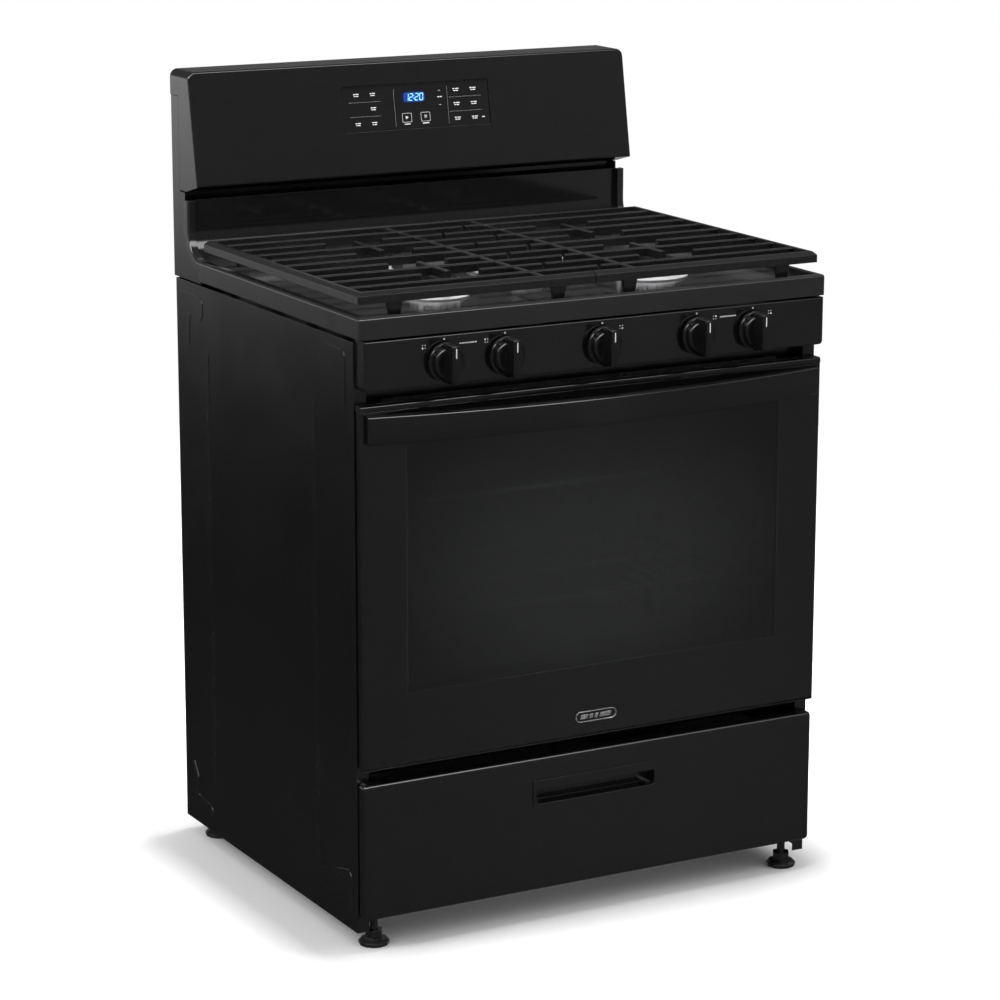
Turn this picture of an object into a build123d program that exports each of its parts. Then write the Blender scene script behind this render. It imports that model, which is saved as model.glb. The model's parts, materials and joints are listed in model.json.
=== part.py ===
from build123d import *
import os
from math import hypot

# A 30-inch freestanding gas range: five cooktop burners under two cast grates, a gas oven
# behind a drop-down door, a storage drawer, and an electronic console on the backguard.
#
# Millimetres, +Z up, the front faces -Y. The origin is on the floor, under the middle of the
# overall box. Every piece is written in its closed, switched-off position.

os.makedirs("parts", exist_ok=True)

# Overall size
width = 759.0
depth = 682.0
height = 1191.0
sheet = 1.0
screw_head = 2.5

# Depth stations, from the back cover forwards
y_cover = depth / 2
y_side_back = y_cover - 17.0
y_side_front = y_side_back - 600.0
y_frame = y_side_front + 20.0
y_door_back = y_side_front - 6.0
y_glass_back = y_door_back - 9.0
y_door_face = y_glass_back - 4.0
y_drawer_face = y_door_face - 1.0
y_panel_face = y_side_front - 27.0
y_lip_face = y_panel_face + 1.5
y_handle_face = -depth / 2

# Heights
z_side_low = 24.0
z_side_top = 878.0
z_lip_low = 884.5
z_rim = 914.5
z_deck = 904.5
z_splash_top = 1000.0
z_panel_low = 812.0
z_panel_top = 882.0
z_door_low = 268.0
z_door_top = 791.0
z_drawer_low = 46.0
z_drawer_top = 248.5
z_recess = 1012.0
z_console_low = 1023.0
z_grate_top = 946.5

# Cabinet
bead_height = 0.8
bead_width = 7.0
bead_y = (212.0, -153.0)
side_x = width / 2 - bead_height
side_inner_x = side_x - sheet
front_flange_x = 360.0
frame_x = 358.5

# Oven cavity and racks
cavity_x = 308.0
cavity_low = 300.0
cavity_top = 770.0
cavity_back = 222.0
liner_sheet = 0.9
liner_flange_x = 325.0
rib_pitch = 85.0
rib_count = 5
rib_depth = 8.0
rib_height = 6.0
rib_low = 371.0
rack_levels = {"oven_rack_lower": 1, "oven_rack_upper": 3}
rack_wire = 3.0
rack_front = -236.0
rack_back = 196.0
insulation = 20.0

# Door
door_x = 377.0
hinge_y = y_door_face + 9.0
hinge_z = z_door_low + 8.0
hinge_x = 338.0
hinge_pin_r = 3.0
hinge_arm_r = 4.6
running_gap = 0.05
window_x = 283.0
window_low = 385.0
window_top = 734.0
plug_x = 322.0
plug_low = 300.0
plug_top = 772.0
plug_back = y_frame - 6.0
handle_x = 369.0
handle_low = 737.5
handle_top = 778.5
handle_thick = 12.0

# Drawer
drawer_x = 376.0
tray_x = 318.0
tray_low = 64.0
tray_top = 226.0
tray_back = 205.0
pull_x = 101.0
pull_low = 176.0
pull_top = 210.0

# Control panel, knobs and valves: the five knobs from left to right
panel_x = 375.0
knob_z = 845.0
knob_x = {
    "front_left": -252.0,
    "rear_left": -156.5,
    "centre": 0.0,
    "rear_right": 156.5,
    "front_right": 252.0,
}
stem_r = 4.0
knob_travel = 3.0
knob_skirt_r = 28.0
manifold_y = -222.0
manifold_r = 9.5

# Burners: column and row positions, base radius, cap radius
burner_x = 178.0
burner_rear_y = 74.0
burner_front_y = -130.0
burner_sizes = {
    (-burner_x, burner_front_y): (52.0, 37.0),
    (-burner_x, burner_rear_y): (46.0, 31.0),
    (burner_x, burner_rear_y): (46.0, 31.0),
    (burner_x, burner_front_y): (60.0, 45.0),
}
oval_length = 176.0
oval_width = 62.0
electrode_r = 2.6
burner_row_y = (burner_rear_y + burner_front_y) / 2

# Grates
grate_x = 374.5
grate_back = 228.0
grate_front = -284.0
grate_pitch = (grate_back - grate_front) / 10
finger_gap = 47.0
tie_x = 74.0

# Backguard
guard_x = 375.0
console_top_y = 276.5
console_low_y = 247.0
console_tilt = (console_top_y - console_low_y) / (height - z_console_low)
console_corner = 12.0
console_edge = 3.0
seam_y = y_cover - 29.0
seam_top = 1153.0
splash_radius = 38.0
splash_y = 274.0
border_x = 367.0
recess_depth = z_rim - z_deck
keypad_width = 256.0
keypad_height = 69.0
keypad_from_top = 69.5

# Feet
leg_x = 347.0
leg_front_y = -264.0
leg_back_y = 272.0
leg_thread_r = 6.0
base_z = 44.0

pieces = {}


def block(x0, x1, y0, y1, z0, z1):
    """A box between two corners, given in either order."""
    return Pos((x0 + x1) / 2, (y0 + y1) / 2, (z0 + z1) / 2) * Box(abs(x1 - x0), abs(y1 - y0), abs(z1 - z0))


def rod(start, end, radius):
    """A round bar from one point to another."""
    run = Vector(*end) - Vector(*start)
    return extrude(Plane(origin=start, z_dir=run.normalized()) * Circle(radius), run.length)


def tube(points, bend, radius, bore=0):
    """A bent round bar through the points, with one bend radius, hollow if it has a bore."""
    path = FilletPolyline(*points, radius=bend)
    section = Circle(radius) - Circle(bore) if bore else Circle(radius)
    return sweep(Plane(origin=path @ 0, z_dir=path % 0) * section, path=path)


def side_profile(*edges):
    """A face in the YZ plane from edges drawn as (y, z), facing +X."""
    return Plane.YZ * make_face(Curve() + list(edges))


def across(face, half_width):
    """A side profile drawn across the range, symmetric about its middle."""
    return extrude(face, half_width, both=True)


def mirrored(shape):
    """A left-hand piece and its right-hand twin, as two separate solids."""
    return Compound(children=[*shape.solids(), *mirror(shape, about=Plane.YZ).solids()])


def group(shapes):
    """Separate solids kept together in one node."""
    return Compound(children=[solid for shape in shapes for solid in shape.solids()])


def turned(outline, x, y):
    """A ring or dish turned about the vertical at x, y from its (radius, z) outline."""
    face = Plane.XZ * make_face(Polyline(*outline, close=True))
    return Pos(x, y, 0) * revolve(face, Axis.Z)


# ---------------------------------------------------------------- cabinet


def bead(points):
    """A pressed stiffening bead on the outside of the left side panel, through (y, z) points."""
    corners = [(-y, z) for y, z in points]
    if len(points) > 2:
        line = FilletPolyline(*corners, radius=9.0)
    else:
        line = Line(*corners)
    face = Plane(origin=(-side_x, 0, 0), x_dir=(0, -1, 0), z_dir=(-1, 0, 0)) * trace(line, bead_width)
    return extrude(face, bead_height)


def side_panel():
    """The left side panel: a sheet with inward flanges, two long beads and corner beads."""
    x = -side_x
    panel = block(x, x + sheet, y_side_front, y_side_back, z_side_low, z_side_top)
    panel += block(x, -front_flange_x, y_side_front, y_side_front + sheet, z_side_low, z_side_top)
    panel += block(x, x + 14, y_side_back - sheet, y_side_back, z_side_low, z_side_top)
    panel += block(x, x + 16, y_side_front, y_side_back, z_side_top - sheet, z_side_top)
    panel = fillet(panel.edges().filter_by(Axis.Z).sort_by_distance((x, y_side_front, 450))[0], 0.9)
    front = y_side_front
    back = y_side_back
    beads = [
        [(bead_y[0], 86), (bead_y[0], 778)],
        [(bead_y[1], 88), (bead_y[1], 778)],
        [(front + 98, 860), (front + 28, 860), (front + 28, 784), (front + 34, 778)],
        [(back - 8, 857), (back - 92, 857), (back - 92, 834), (back - 84, 826)],
        [(back - 45, 829), (back - 43, 784)],
        [(back - 30, 119), (back - 46, 98), (back - 46, 66), (back - 96, 62), (back - 100, 48)],
        [(front + 62, 100), (front + 20, 110), (front + 20, 50)],
    ]
    for points in beads:
        panel += bead(points)
    return panel


def rear_panel():
    """The back sheet with its gas and power openings and two rows of cooling slots."""
    y = y_side_back - 2 * sheet
    panel = block(-side_inner_x, side_inner_x, y, y + sheet, z_side_low + 20, z_side_top - sheet)
    panel -= block(250, 345, y - 1, y + 2, 90, 180)
    panel -= Pos(-300, y, 130) * Rot(90, 0, 0) * Cylinder(14, 10)
    for column in range(9):
        x = -240 + 60 * column
        for z in (820, 846):
            panel -= block(x - 20, x + 20, y - 1, y + 2, z - 3, z + 3)
    return panel


def leg_positions():
    """The (x, y) of the four levelling legs."""
    return [(sx * leg_x, y) for sx in (-1, 1) for y in (leg_front_y, leg_back_y)]


def base_frame():
    """The folded base ring with a threaded socket over each levelling leg."""
    ring = block(-side_inner_x, side_inner_x, y_side_front + 6, y_side_back - 2, base_z, base_z + 2)
    ring -= block(-tray_x, tray_x, -232, 242, base_z - 1, base_z + 3)
    for y in (-234, 242):
        ring += block(-tray_x - 2, tray_x + 2, y, y + 2, base_z, base_z + 16)
    for x, y in leg_positions():
        ring += Pos(x, y, base_z + 9) * Cylinder(11, 14)
    for x, y in leg_positions():
        ring -= Pos(x, y, base_z + 6) * Cylinder(leg_thread_r + running_gap, 30)
    return ring


def levelling_leg(x, y):
    """A screw-in foot: faceted glide, hexagonal collar and threaded stem."""
    leg = extrude(Pos(x, y, 0) * RegularPolygon(22.5, 12), 9)
    leg = chamfer(leg.edges().group_by(Axis.Z)[-1], 3.5)
    leg = chamfer(leg.edges().group_by(Axis.Z)[0], 1.5)
    leg += extrude(Pos(x, y, 9) * RegularPolygon(13.5, 6), 13)
    leg += Pos(x, y, 39) * Cylinder(leg_thread_r, 34)
    return leg


def front_frame():
    """The sheet face behind the door and drawer: oven opening, side returns, hinge slots."""
    low = z_drawer_top + 2
    frame = block(-frame_x, frame_x, y_frame, y_frame + 1.5, low, z_panel_low)
    frame -= block(-liner_flange_x - 1, liner_flange_x + 1, y_frame - 1, y_frame + 3, 283, z_door_top)
    for side in (-1, 1):
        frame += block(side * frame_x, side * front_flange_x, y_side_front, y_frame + 1.5,
                       low, z_panel_low)
        frame -= Pos(side * hinge_x, y_frame, hinge_z) * Box(11, 8, 15)
    return frame


def oven_liner():
    """The enamelled oven box with its front flange and five pairs of rack ribs."""
    t = liner_sheet
    liner = block(-cavity_x - t, cavity_x + t, y_frame, cavity_back + t,
                  cavity_low - t, cavity_top + t)
    liner += block(-liner_flange_x, liner_flange_x, y_frame, y_frame + t, 284, 790)
    liner -= block(-cavity_x, cavity_x, y_frame - 1, cavity_back, cavity_low, cavity_top)
    for level in range(rib_count):
        z = rib_low + rib_pitch * level
        for side in (-1, 1):
            liner += block(side * (cavity_x - rib_depth), side * (cavity_x + t / 2), -232, 204,
                           z, z + rib_height)
    liner -= Pos(cavity_x - 40, cavity_back, cavity_top - 60) * Rot(90, 0, 0) * Cylinder(28, 8)
    liner -= block(-26, 26, 150, 196, cavity_top - 1, cavity_top + t + 1)
    return liner


def oven_floor_plate():
    """The lift-out oven bottom, raised over the bake burner, with rows of heat slots."""
    z = cavity_low + 34
    plate = block(-292, 292, -236, 208, z, z + 1.2)
    for side in (-1, 1):
        plate += block(side * 290.8, side * 292, -236, 208, cavity_low, z)
    for side in (-1, 1):
        for row in range(12):
            y = -200 + 34 * row
            plate -= block(side * 262 - 14, side * 262 + 14, y, y + 6, z - 1, z + 3)
    return plate


def oven_insulation():
    """The glass-fibre wrap round the top, sides and back of the oven box."""
    t = liner_sheet
    x = cavity_x + t
    outer = block(-x - insulation, x + insulation, y_frame + 8, cavity_back + t + insulation,
                  cavity_low - t - insulation, cavity_top + t + insulation)
    outer -= block(-x, x, y_frame, cavity_back + t, cavity_low - t, cavity_top + t)
    for side in (-1, 1):
        outer -= block(side * 326, side * 345, y_frame, -190, 260, 300)
    outer -= Pos(cavity_x - 40, cavity_back + 16, cavity_top - 60) * Rot(90, 0, 0) * Cylinder(29, 60)
    outer -= block(-27, 27, 149, 197, cavity_top, cavity_top + 60)
    return outer


def oven_vent():
    """The duct that takes the oven's exhaust up behind the splash, and its slotted strip.

    The strip is set back in the gap under the console, where the exhaust leaves.
    """
    z0 = cavity_top + liner_sheet
    front = splash_y + recess_depth + 4
    back = seam_y - 4
    duct = block(-26, 26, 150, 196, z0, z0 + 60)
    duct += block(-26, 26, 150, back, z0 + 44, z0 + 88)
    duct += block(-26, 26, front, back, z0 + 44, 985)
    duct -= block(-25, 25, 151, 195, z0 - 1, z0 + 59)
    duct -= block(-25, 25, 151, back - 1, z0 + 45, z0 + 87)
    duct -= block(-25, 25, front + 1, back - 1, z0 + 46, 986)
    strip = block(-guard_x + 3, guard_x - 3, back - sheet, back, 975, 1011)
    strip += block(-guard_x + 3, guard_x - 3, back - sheet, seam_y, 1010, 1011)
    for column in range(12):
        x = -22 + 25 * column
        strip -= block(x - 9, x + 9, back - 3, back + 2, 994, 1003)
    return duct + strip


def bake_burner():
    """A U-shaped ported gas tube under the oven floor."""
    z = cavity_low + 16
    run = [(-120, 150, z), (-120, -170, z), (120, -170, z), (120, 150, z)]
    return tube(run, 60, 9, 7.6)


def broil_burner():
    """A ported gas tube loop with its screen, just under the oven roof."""
    z = cavity_top - 20
    burner = tube([(-150, 150, z), (-150, -150, z), (150, -150, z), (150, 150, z)], 60, 9, 7.6)
    burner += block(-142, 142, 60, 90, z - 5, z + 5) - block(-140, 140, 59, 91, z - 4, z + 4)
    return burner


def oven_igniters():
    """Two glow-bar igniters, one beside each oven burner."""
    bars = []
    for x, y, z in ((96, 100, cavity_low + 16), (118, 20, cavity_top - 20)):
        holder = block(x - 8, x + 8, y, y + 25, z - 10, z + 10)
        bars.append(holder + block(x - 5, x + 5, y - 60, y + 1, z - 5, z + 5))
    return group(bars)


def oven_lamp():
    """The oven lamp: socket behind the liner, glass bulb cover inside."""
    x = cavity_x - 40
    z = cavity_top - 60
    lamp = rod((x, cavity_back - 24, z), (x, cavity_back + 2, z), 24)
    lamp = fillet(lamp.edges().group_by(Axis.Y)[0], 10)
    lamp += rod((x, cavity_back + 1, z), (x, cavity_back + 44, z), 17)
    return lamp


def oven_sensor():
    """The oven's temperature probe with its mounting tab."""
    z = cavity_top - 70
    probe = rod((-180, cavity_back - 110, z), (-180, cavity_back - 2, z), 2.5)
    probe += block(-200, -160, cavity_back - 2, cavity_back, z - 9, z + 9)
    return probe


def hinge_arms():
    """The fixed hinge arms, each carrying its pivot pin in front of the oven face."""
    arms = []
    for side in (-1, 1):
        x = side * hinge_x
        arm = rod((x - 4, hinge_y, hinge_z), (x + 4, hinge_y, hinge_z), hinge_arm_r)
        arm += block(x - 4, x + 4, hinge_y, -196, hinge_z - hinge_arm_r, hinge_z + hinge_arm_r)
        arm += rod((x - 8.5, hinge_y, hinge_z), (x + 8.5, hinge_y, hinge_z), hinge_pin_r)
        arms.append(arm)
    return group(arms)


def drawer_rails():
    """The left and right channels that the drawer's side rims run in."""
    rail = block(-side_inner_x, -side_inner_x + 2, -255, 280, 150, 190)
    for z in (150, 188):
        rail += block(-side_inner_x, -334, -255, 280, z, z + 2)
    return mirrored(rail)


def cabinet_screws():
    """Round-head screws: down both back edges and along the top of the back cover."""
    screws = []
    for x in (-368, 368):
        for z in (60, 260, 460, 660, 860):
            screws.append(rod((x, y_side_back, z), (x, y_side_back + 4, z), 4.5))
    for x in (-345, -115, 115, 345):
        screws.append(rod((x, y_cover - screw_head, 1140), (x, y_cover, 1140), 4.5))
    return group(screws)


# ---------------------------------------------------------------- cooktop


def sweep_band(outer, inner, low):
    """The side outline between two offsets of the cooktop surface, up to the splash top.

    outer and inner are distances behind the rim surface; low closes the front end at that y.
    """
    r0 = splash_radius + outer
    r1 = splash_radius + inner
    arc_y = splash_y - splash_radius
    arc_z = z_rim + splash_radius
    return side_profile(
        Line((low, z_rim - outer), (arc_y, z_rim - outer)),
        CenterArc((arc_y, arc_z), r0, -90, 90),
        Line((arc_y + r0, arc_z), (arc_y + r0, z_splash_top)),
        Line((arc_y + r0, z_splash_top), (arc_y + r1, z_splash_top)),
        Line((arc_y + r1, z_splash_top), (arc_y + r1, arc_z)),
        CenterArc((arc_y, arc_z), r1, -90, 90),
        Line((arc_y, z_rim - inner), (low, z_rim - inner)),
        Line((low, z_rim - inner), (low, z_rim - outer)),
    )


def burner_holes():
    """The (x, y) of the five burner openings in the deck."""
    return [*burner_sizes, (0.0, burner_row_y)]


def cooktop():
    """The one-piece enamelled top: lip, rim, sunken deck and the splash that sweeps up."""
    half = width / 2
    top = across(sweep_band(0, 14, y_lip_face), half)
    top += block(-half, half, y_lip_face, splash_y - splash_radius, z_lip_low, z_rim - 13)
    corners = top.edges().filter_by(Axis.Z).group_by(Axis.Y)[0]
    top = fillet(corners, 7)
    lip_face = top.faces().sort_by(Axis.Z).filter_by(Axis.Y).sort_by(Axis.Y)[0]
    top = fillet(lip_face.edges().sort_by(Axis.Z)[-1], 4)
    recess = across(sweep_band(-20, recess_depth, y_lip_face + 12), border_x)
    top -= recess
    under = across(sweep_band(recess_depth + 1.1, 40, y_lip_face + 1.5), half - 1.5)
    under += block(-half + 1.5, half - 1.5, y_lip_face + 1.5, splash_y - splash_radius, 860, z_deck - 1.1)
    top -= fillet(under.edges().filter_by(Axis.Z).group_by(Axis.Y)[0], 5.5)
    for x, y in burner_holes():
        top -= Pos(x, y, z_deck) * Cylinder(23, 20)
    return top


def burner_bases():
    """The aluminium burner bodies: skirt on the deck, throat below and ported head above."""
    bases = []
    for (x, y), (base_r, cap_r) in burner_sizes.items():
        head_r = cap_r - 4
        outline = [
            (0, 872),
            (14, 872),
            (21, 884),
            (21, z_deck),
            (base_r, z_deck),
            (base_r, z_deck + 2),
            (base_r - 10, z_deck + 6),
            (head_r + 2, z_deck + 9),
            (head_r, z_deck + 9),
            (head_r, z_deck + 18),
            (head_r - 5, z_deck + 18),
            (head_r - 5, z_deck + 10),
            (0, z_deck + 10),
        ]
        base = turned(outline, x, y)
        for port in range(18):
            slot = Pos(head_r - 2, 0, z_deck + 15) * Box(14, 2.2, 7)
            base -= Pos(x, y, 0) * Rot(0, 0, 20 * port) * slot
        base -= Pos(electrode_x(x, cap_r), y, z_deck) * Cylinder(electrode_r + 0.2, 40)
        bases.append(base)
    y = burner_row_y
    lengthways = Rot(0, 0, 90)
    skirt = lengthways * SlotOverall(oval_length, oval_width + 18)
    head = lengthways * SlotOverall(oval_length - 26, oval_width - 8)
    oval = extrude(Pos(0, y, z_deck) * skirt, 5)
    oval = chamfer(oval.edges().group_by(Axis.Z)[-1], 2.5)
    oval += extrude(Pos(0, y, z_deck + 4) * head, 14)
    oval += Pos(0, y, 888) * Cylinder(21, 34)
    for step in range(-4, 5):
        oval -= Pos(0, y + 14 * step, z_deck + 15) * Box(oval_width + 20, 2.4, 7)
    oval -= Pos(electrode_x(0, oval_width / 2), y, z_deck) * Cylinder(electrode_r + 0.2, 40)
    bases.append(oval)
    return group(bases)


def burner_caps():
    """The black enamelled caps that lie on the burner heads."""
    caps = []
    low = z_deck + 18
    for (x, y), (_, cap_r) in burner_sizes.items():
        cap = Pos(x, y, low + 3.5) * Cylinder(cap_r, 7)
        cap = fillet(cap.edges().group_by(Axis.Z)[-1], 4)
        caps.append(cap)
    oval_face = Rot(0, 0, 90) * SlotOverall(oval_length - 18, oval_width)
    oval = extrude(Pos(0, burner_row_y, low) * oval_face, 7)
    caps.append(fillet(oval.edges().group_by(Axis.Z)[-1], 4))
    return group(caps)


def electrode_x(x, cap_r):
    """Each electrode stands beside its cap, on the side towards the middle of the range."""
    return x + (cap_r + electrode_r + 1) * (1 if x <= 0 else -1)


def burner_electrodes():
    """A ceramic spark electrode with its metal tip beside each burner head."""
    spots = [(electrode_x(x, cap_r), y) for (x, y), (_, cap_r) in burner_sizes.items()]
    spots.append((electrode_x(0, oval_width / 2), burner_row_y))
    pins = []
    for x, y in spots:
        pin = Pos(x, y, z_deck + 9.5) * Cylinder(electrode_r, 19)
        pins.append(pin + Pos(x, y, z_deck + 20) * Cylinder(1.0, 6))
    return group(pins)


def grate_bar(start, end, wide, tall, top):
    """A cast bar with bevelled top edges, between two (x, y) points."""
    run = Vector(end[0] - start[0], end[1] - start[1], 0)
    bevel = 1.4
    half = wide / 2
    outline = Polyline((-half, -tall), (half, -tall), (half, -bevel), (half - bevel, 0),
                       (bevel - half, 0), (-half, -bevel), close=True)
    x_dir = (-run.Y, run.X, 0)
    plane = Plane(origin=(start[0], start[1], top), x_dir=x_dir, z_dir=run.normalized())
    face = plane * make_face(outline)
    return extrude(face, run.length)


def grate(side):
    """One cast grate: bevelled frame on three sides, ten-pitch fingers, ties and feet.

    The two grates interlock at the middle: each carries alternate fingers past the centre line.
    """
    frame_wide = 11.0
    top = z_grate_top
    cast = block(side * 1.0, side * grate_x, grate_front, grate_back, top - 16, top)
    outer = [edge for edge in cast.edges().group_by(Axis.Z)[-1] if abs(edge.center().X) > 2]
    cast = chamfer(outer, 5)
    inner = block(0, side * (grate_x - frame_wide), grate_front + frame_wide, grate_back - frame_wide,
                  top - 20, top + 1)
    cast -= inner
    outer_x = side * (grate_x - 6)
    column = side * burner_x
    for number in range(1, 10):
        y = grate_back - grate_pitch * number
        if number % 2:
            end_x = 31.0 if side < 0 else 37.0
            cast += grate_bar((end_x, y), (outer_x, y), 8, 13, top)
        else:
            end_x = -31.0 if side < 0 else -25.0
            near = column - side * finger_gap
            far = column + side * finger_gap
            cast += grate_bar((end_x, y), (near, y), 8, 13, top)
            cast += grate_bar((far, y), (outer_x, y), 8, 13, top)
    for number in (3, 7):
        y = grate_back - grate_pitch * number
        cast += grate_bar((column, y - 46), (column, y + 46), 8, 13, top)
    cast += grate_bar((side * tie_x, grate_front + 6), (side * tie_x, grate_back - 6), 8, 13, top - 2)
    for x in (58.0, 316.0):
        for y in (grate_front + 6, grate_back - 6):
            foot = Pos(side * x, y, 0) * extrude(Pos(0, 0, top - 15) * Rectangle(22, 10), -26.9, taper=7)
            cast += foot
    return cast


# ---------------------------------------------------------------- controls and gas train


def control_panel():
    """The folded sheet that carries the knobs, open behind, with a hole for each valve stem."""
    shell = block(-panel_x, panel_x, y_panel_face, y_side_front, z_panel_low, z_panel_top)
    low_corners = shell.edges().filter_by(Axis.Y).group_by(Axis.Z)[0]
    shell = fillet(low_corners, 6)
    shell = fillet(shell.faces().sort_by(Axis.Y)[0].edges(), 2.5)
    inner = block(-panel_x + 1.5, panel_x - 1.5, y_panel_face + 1.5, y_side_front + 1,
                  z_panel_low + 1.5, z_panel_top - 1.5)
    shell -= fillet(inner.edges().filter_by(Axis.Y).group_by(Axis.Z)[0], 4.5)
    for z in (z_panel_low, z_panel_top - 1.5):
        shell += block(-frame_x + 2, frame_x - 2, y_side_front - 2, y_frame + 1.5, z, z + 1.5)
    for x in knob_x.values():
        shell -= Pos(x, y_panel_face, knob_z) * Rot(90, 0, 0) * Cylinder(stem_r + 2.5, 12)
    return shell


def gas_manifold():
    """The manifold pipe behind the valves and the supply pipe down the right rear corner."""
    z = knob_z
    pipe = rod((-300, manifold_y, z), (330, manifold_y, z), manifold_r)
    supply = [
        (320, manifold_y, z),
        (358, manifold_y, z),
        (358, 296, z),
        (358, 296, 135),
        (330, 296, 135),
    ]
    return pipe + tube(supply, 16, 8)


def burner_valves():
    """The five cooktop valves, saddled on the manifold, each bored for its stem."""
    valves = []
    for x in knob_x.values():
        body = block(x - 12, x + 12, -262, manifold_y - manifold_r, knob_z - 14, knob_z + 14)
        body += rod((x, -268, knob_z), (x, -261, knob_z), 10)
        body += rod((x, -248, knob_z + 13), (x, -248, knob_z + 27), 5)
        body -= rod((x, -269, knob_z), (x, -246, knob_z), stem_r + running_gap)
        valves.append(body)
    return group(valves)


def valve_stem(x):
    """A valve's turning stem, flatted where the knob's hub takes hold."""
    stem = rod((x, -330, knob_z), (x, -247, knob_z), stem_r)
    stem -= block(x - 5, x + 5, -331, -308, knob_z + 2.6, knob_z + 6)
    return stem


def knob(x):
    """A push-to-turn knob: round skirt, domed body, tall grip bar, bore for the stem."""
    back = y_panel_face - knob_travel - 1.0
    skirt = rod((x, back, knob_z), (x, back - 6, knob_z), knob_skirt_r)
    skirt = chamfer(skirt.edges().group_by(Axis.Y)[0], 2.0)
    skirt += rod((x, back - 5, knob_z), (x, back - 12, knob_z), 22)
    skirt = fillet(skirt.edges().group_by(Axis.Y)[0], 3.5)
    grip = block(x - 7, x + 7, back - 32.5, back - 4, knob_z - 27.5, knob_z + 27.5)
    grip = fillet(grip.edges().filter_by(Axis.Y), 3.0)
    grip = fillet(grip.edges().group_by(Axis.Y)[0], 1.6)
    shape = skirt + grip
    shape -= rod((x, back + 1, knob_z), (x, -334.5, knob_z), stem_r + running_gap)
    return shape


def gas_regulator():
    """The pressure regulator with its half-inch inlet stub through the back panel."""
    body = block(266, 330, 272, 312, 112, 158)
    body = fillet(body.edges().filter_by(Axis.Y), 6)
    body += rod((298, 286, 157), (298, 286, 170), 13)
    body += rod((290, 310, 135), (290, y_cover - 3, 135), 10.6)
    return body


def power_inlet():
    """The strain-relief bushing for the supply cord in the back panel."""
    y = y_side_back - 2 * sheet
    bush = rod((-300, y - 8, 130), (-300, y + sheet + 4, 130), 18)
    groove = Cylinder(30, sheet) - Cylinder(13.9, sheet)
    bush -= Pos(-300, y + sheet / 2, 130) * Rot(90, 0, 0) * groove
    bush -= rod((-300, y - 12, 130), (-300, y + 12, 130), 5.5)
    return bush


# ---------------------------------------------------------------- backguard


def console_outline(inset):
    """The console's side outline, drawn inside its skin by the inset."""
    y_low = console_low_y + inset
    outline = [
        (y_low, z_console_low + inset),
        (console_top_y + inset, height - inset),
        (y_cover - inset, height - inset),
        (y_cover - inset, seam_top + inset),
        (seam_y - inset, seam_top + inset),
        (seam_y - inset, z_recess + inset),
        (y_low + 42, z_recess + inset),
    ]
    return Plane.YZ * make_face(Polyline(*outline, close=True))


def console_block(inset):
    """The console as a solid with rounded upper corners and face, set inside its skin by the inset."""
    solid = across(console_outline(inset), guard_x - inset)
    top_face = solid.faces().sort_by(Axis.Z)[-1]
    top_ends = [edge for edge in top_face.edges() if abs(edge.center().X) > guard_x - 5]
    solid = fillet(top_ends, console_corner - inset)
    return fillet(solid.faces().sort_by(Axis.Y)[0].edges(), console_edge - inset)


def console_panel():
    """The sloping console housing, rounded at its ends, with a window for the keypad."""
    shell = console_block(0) - console_block(1.6)
    shell -= block(-guard_x + 6, guard_x - 6, 292, seam_y + 1, 1005, seam_top)
    shell -= block(-guard_x + 6, guard_x - 6, seam_y - 2, y_cover - 8, seam_top - 1, seam_top + 3)
    shell -= console_plane(0) * Box(keypad_width + 1, keypad_height + 1, 12)
    return shell


def console_plane(sunk):
    """The plane of the keypad on the sloping face, sunk below it by the given amount."""
    run = hypot(console_top_y - console_low_y, height - z_console_low)
    z = height - keypad_from_top * (height - z_console_low) / run
    y = console_top_y - (height - z) * console_tilt
    normal = Vector(0, -(height - z_console_low) / run, (console_top_y - console_low_y) / run)
    return Plane(origin=Vector(0, y, z) - normal * sunk, x_dir=(1, 0, 0), z_dir=normal)


def keypad_panel():
    """The flat keypad and display plate, set just below the console face."""
    plate = console_plane(3.0) * Box(keypad_width, keypad_height, 3.0)
    return plate


def control_board():
    """The electronic oven control behind the keypad."""
    board = console_plane(22) * Box(190, 78, 1.6)
    board += console_plane(14) * Box(120, 40, 15)
    board += console_plane(28) * (Pos(-60, 0, 0) * Box(34, 40, 12))
    return board


def guard_sides():
    """The backguard's lower side plates, curved in front to follow the cooktop's splash."""
    arc_y = splash_y - splash_radius
    arc_z = z_rim + splash_radius
    r = splash_radius + 16
    outline = side_profile(
        Line((seam_y, z_side_top + 1), (arc_y + 4, z_side_top + 1)),
        Line((arc_y + 4, z_side_top + 1), (arc_y + 4, arc_z - r)),
        CenterArc((arc_y + 4, arc_z), r, -90, 90),
        Line((arc_y + 4 + r, arc_z), (arc_y + 4 + r, 1010)),
        Line((arc_y + 4 + r, 1010), (seam_y, 1010)),
        Line((seam_y, 1010), (seam_y, z_side_top + 1)),
    )
    plate = extrude(outline, 2.0)
    return group([Pos(guard_x - 2, 0, 0) * plate, Pos(-guard_x, 0, 0) * plate])


def guard_cover():
    """The backguard's rear cover: a shallow box with cooling louvres."""
    low = z_side_top + 1
    back = y_cover - screw_head
    cover = block(-guard_x, guard_x, seam_y + 0.4, back, low, seam_top - 0.4)
    cover -= block(-guard_x + sheet, guard_x - sheet, seam_y - 1, back - sheet, low - 1, seam_top - 1.4)
    for column in range(13):
        x = -300 + 50 * column
        for z in (920, 940, 1060, 1080):
            cover -= block(x - 17, x + 17, back - 3, back + 1, z - 2.5, z + 2.5)
    return cover


# ---------------------------------------------------------------- oven door


def door_glass():
    """The full-face outer glass."""
    glass = block(-door_x + 1.5, door_x - 1.5, y_door_face, y_glass_back, z_door_low + 3, z_door_top - 8)
    return chamfer(glass.faces().sort_by(Axis.Y)[0].edges(), 1.0)


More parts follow.
